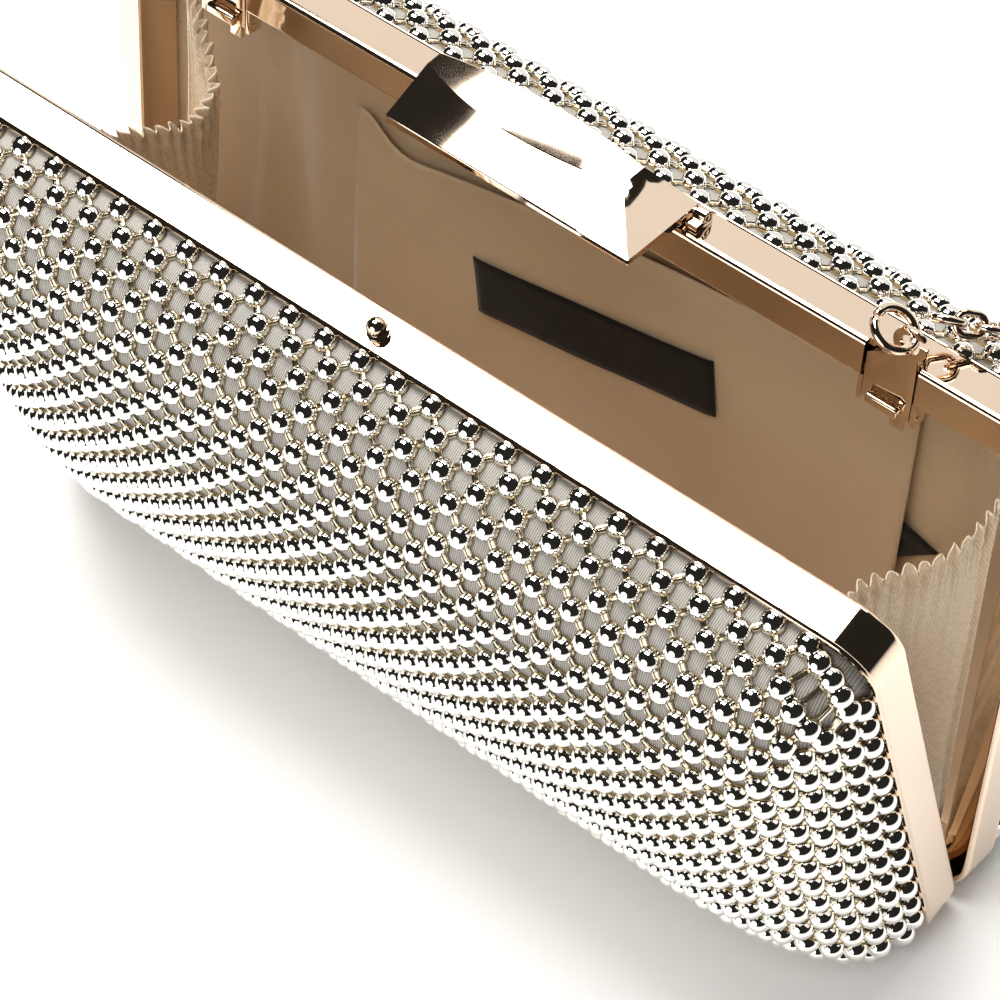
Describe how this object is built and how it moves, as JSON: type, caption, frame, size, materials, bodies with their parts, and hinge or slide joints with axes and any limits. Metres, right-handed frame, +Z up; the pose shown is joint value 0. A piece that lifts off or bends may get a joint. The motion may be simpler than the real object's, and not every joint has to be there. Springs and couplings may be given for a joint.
{
  "type": "evening bag",
  "caption": "Open box clutch: two metal channel frames hinged at the bottom, beaded bulging halves, faceted snap clasp, satin lining with slip pocket and gussets, fold-in shoulder chain",
  "frame": {"origin": "Centre of the bag's bounding box on the surface it stands on, without the shoulder chain. The hinge line is straight above it.", "axes": "+X to the bag's right along the hinge line, +Y towards the back half, +Z up."},
  "size_m": [0.19, 0.1079, 0.1142],
  "materials": {
    "rose_metal": "polished",
    "spring_steel": "plain",
    "bead_metal": "polished half-beads",
    "chain_metal": "polished links",
    "shell_board": "moulded",
    "grey_satin": "satin",
    "lining_satin": "satin",
    "black_cloth": "woven"
  },
  "bodies": {
    "back_half": {"back_frame": "rose_metal", "back_shell": "shell_board", "back_satin": "grey_satin", "back_bead_mesh": "bead_metal", "back_lining": "lining_satin", "slip_pocket": "lining_satin", "woven_label": "black_cloth", "dark_tab": "black_cloth", "back_hinge_leaf": "rose_metal", "back_rivets": "rose_metal", "hinge_pin": "rose_metal", "clasp_brackets": "rose_metal", "clasp_pin": "rose_metal", "clasp_spring": "spring_steel", "hook_bracket_right": "rose_metal", "hook_pin_right": "rose_metal", "hook_bracket_left": "rose_metal", "hook_pin_left": "rose_metal", "gusset_right": "lining_satin", "gusset_left": "lining_satin", "elastic_edge_right": "lining_satin", "elastic_edge_left": "lining_satin", "chain_right": "chain_metal", "chain_hank": "chain_metal", "chain_tie": "black_cloth", "chain_left": "chain_metal"},
    "front_half": {"front_frame": "rose_metal", "front_shell": "shell_board", "front_satin": "grey_satin", "front_bead_mesh": "bead_metal", "front_lining": "lining_satin", "ball_stud": "rose_metal", "front_hinge_leaf": "rose_metal", "front_rivets": "rose_metal"},
    "clasp": {"clasp_bar": "rose_metal"},
    "hook_right": {"hook_plate_right": "rose_metal"},
    "hook_left": {"hook_plate_left": "rose_metal"},
    "ring_right": {"hook_ring_right": "rose_metal"},
    "ring_left": {"hook_ring_left": "rose_metal"}
  },
  "joints": [
    {"name": "bag_hinge", "type": "hinge", "parent": "back_half", "child": "front_half", "pos_m": [0, 0, 0.00166], "axis": [1, 0, 0], "range_deg": [-20.5, 8], "deforming": ["gusset_right", "gusset_left", "elastic_edge_right", "elastic_edge_left"]},
    {"name": "clasp_hinge", "type": "hinge", "parent": "back_half", "child": "clasp", "pos_m": [0, 0.02336, 0.10668], "axis": [-1, 0, 0], "range_deg": [-9.5, 15], "stiffness_Nm_per_rad": 0.08},
    {"name": "right_hook_hinge", "type": "hinge", "parent": "back_half", "child": "hook_right", "pos_m": [0.065, 0.01849, 0.09547], "axis": [1, 0, 0], "range_deg": [0, 150]},
    {"name": "left_hook_hinge", "type": "hinge", "parent": "back_half", "child": "hook_left", "pos_m": [-0.07, 0.01849, 0.09547], "axis": [1, 0, 0], "range_deg": [0, 150]},
    {"name": "right_ring_swing", "type": "hinge", "parent": "hook_right", "child": "ring_right", "pos_m": [0.0675, 0.02014, 0.10909], "axis": [1, 0, 0], "range_deg": [-12, 12]},
    {"name": "left_ring_swing", "type": "hinge", "parent": "hook_left", "child": "ring_left", "pos_m": [-0.0675, 0.02014, 0.10909], "axis": [1, 0, 0], "range_deg": [-12, 12]}
  ]
}
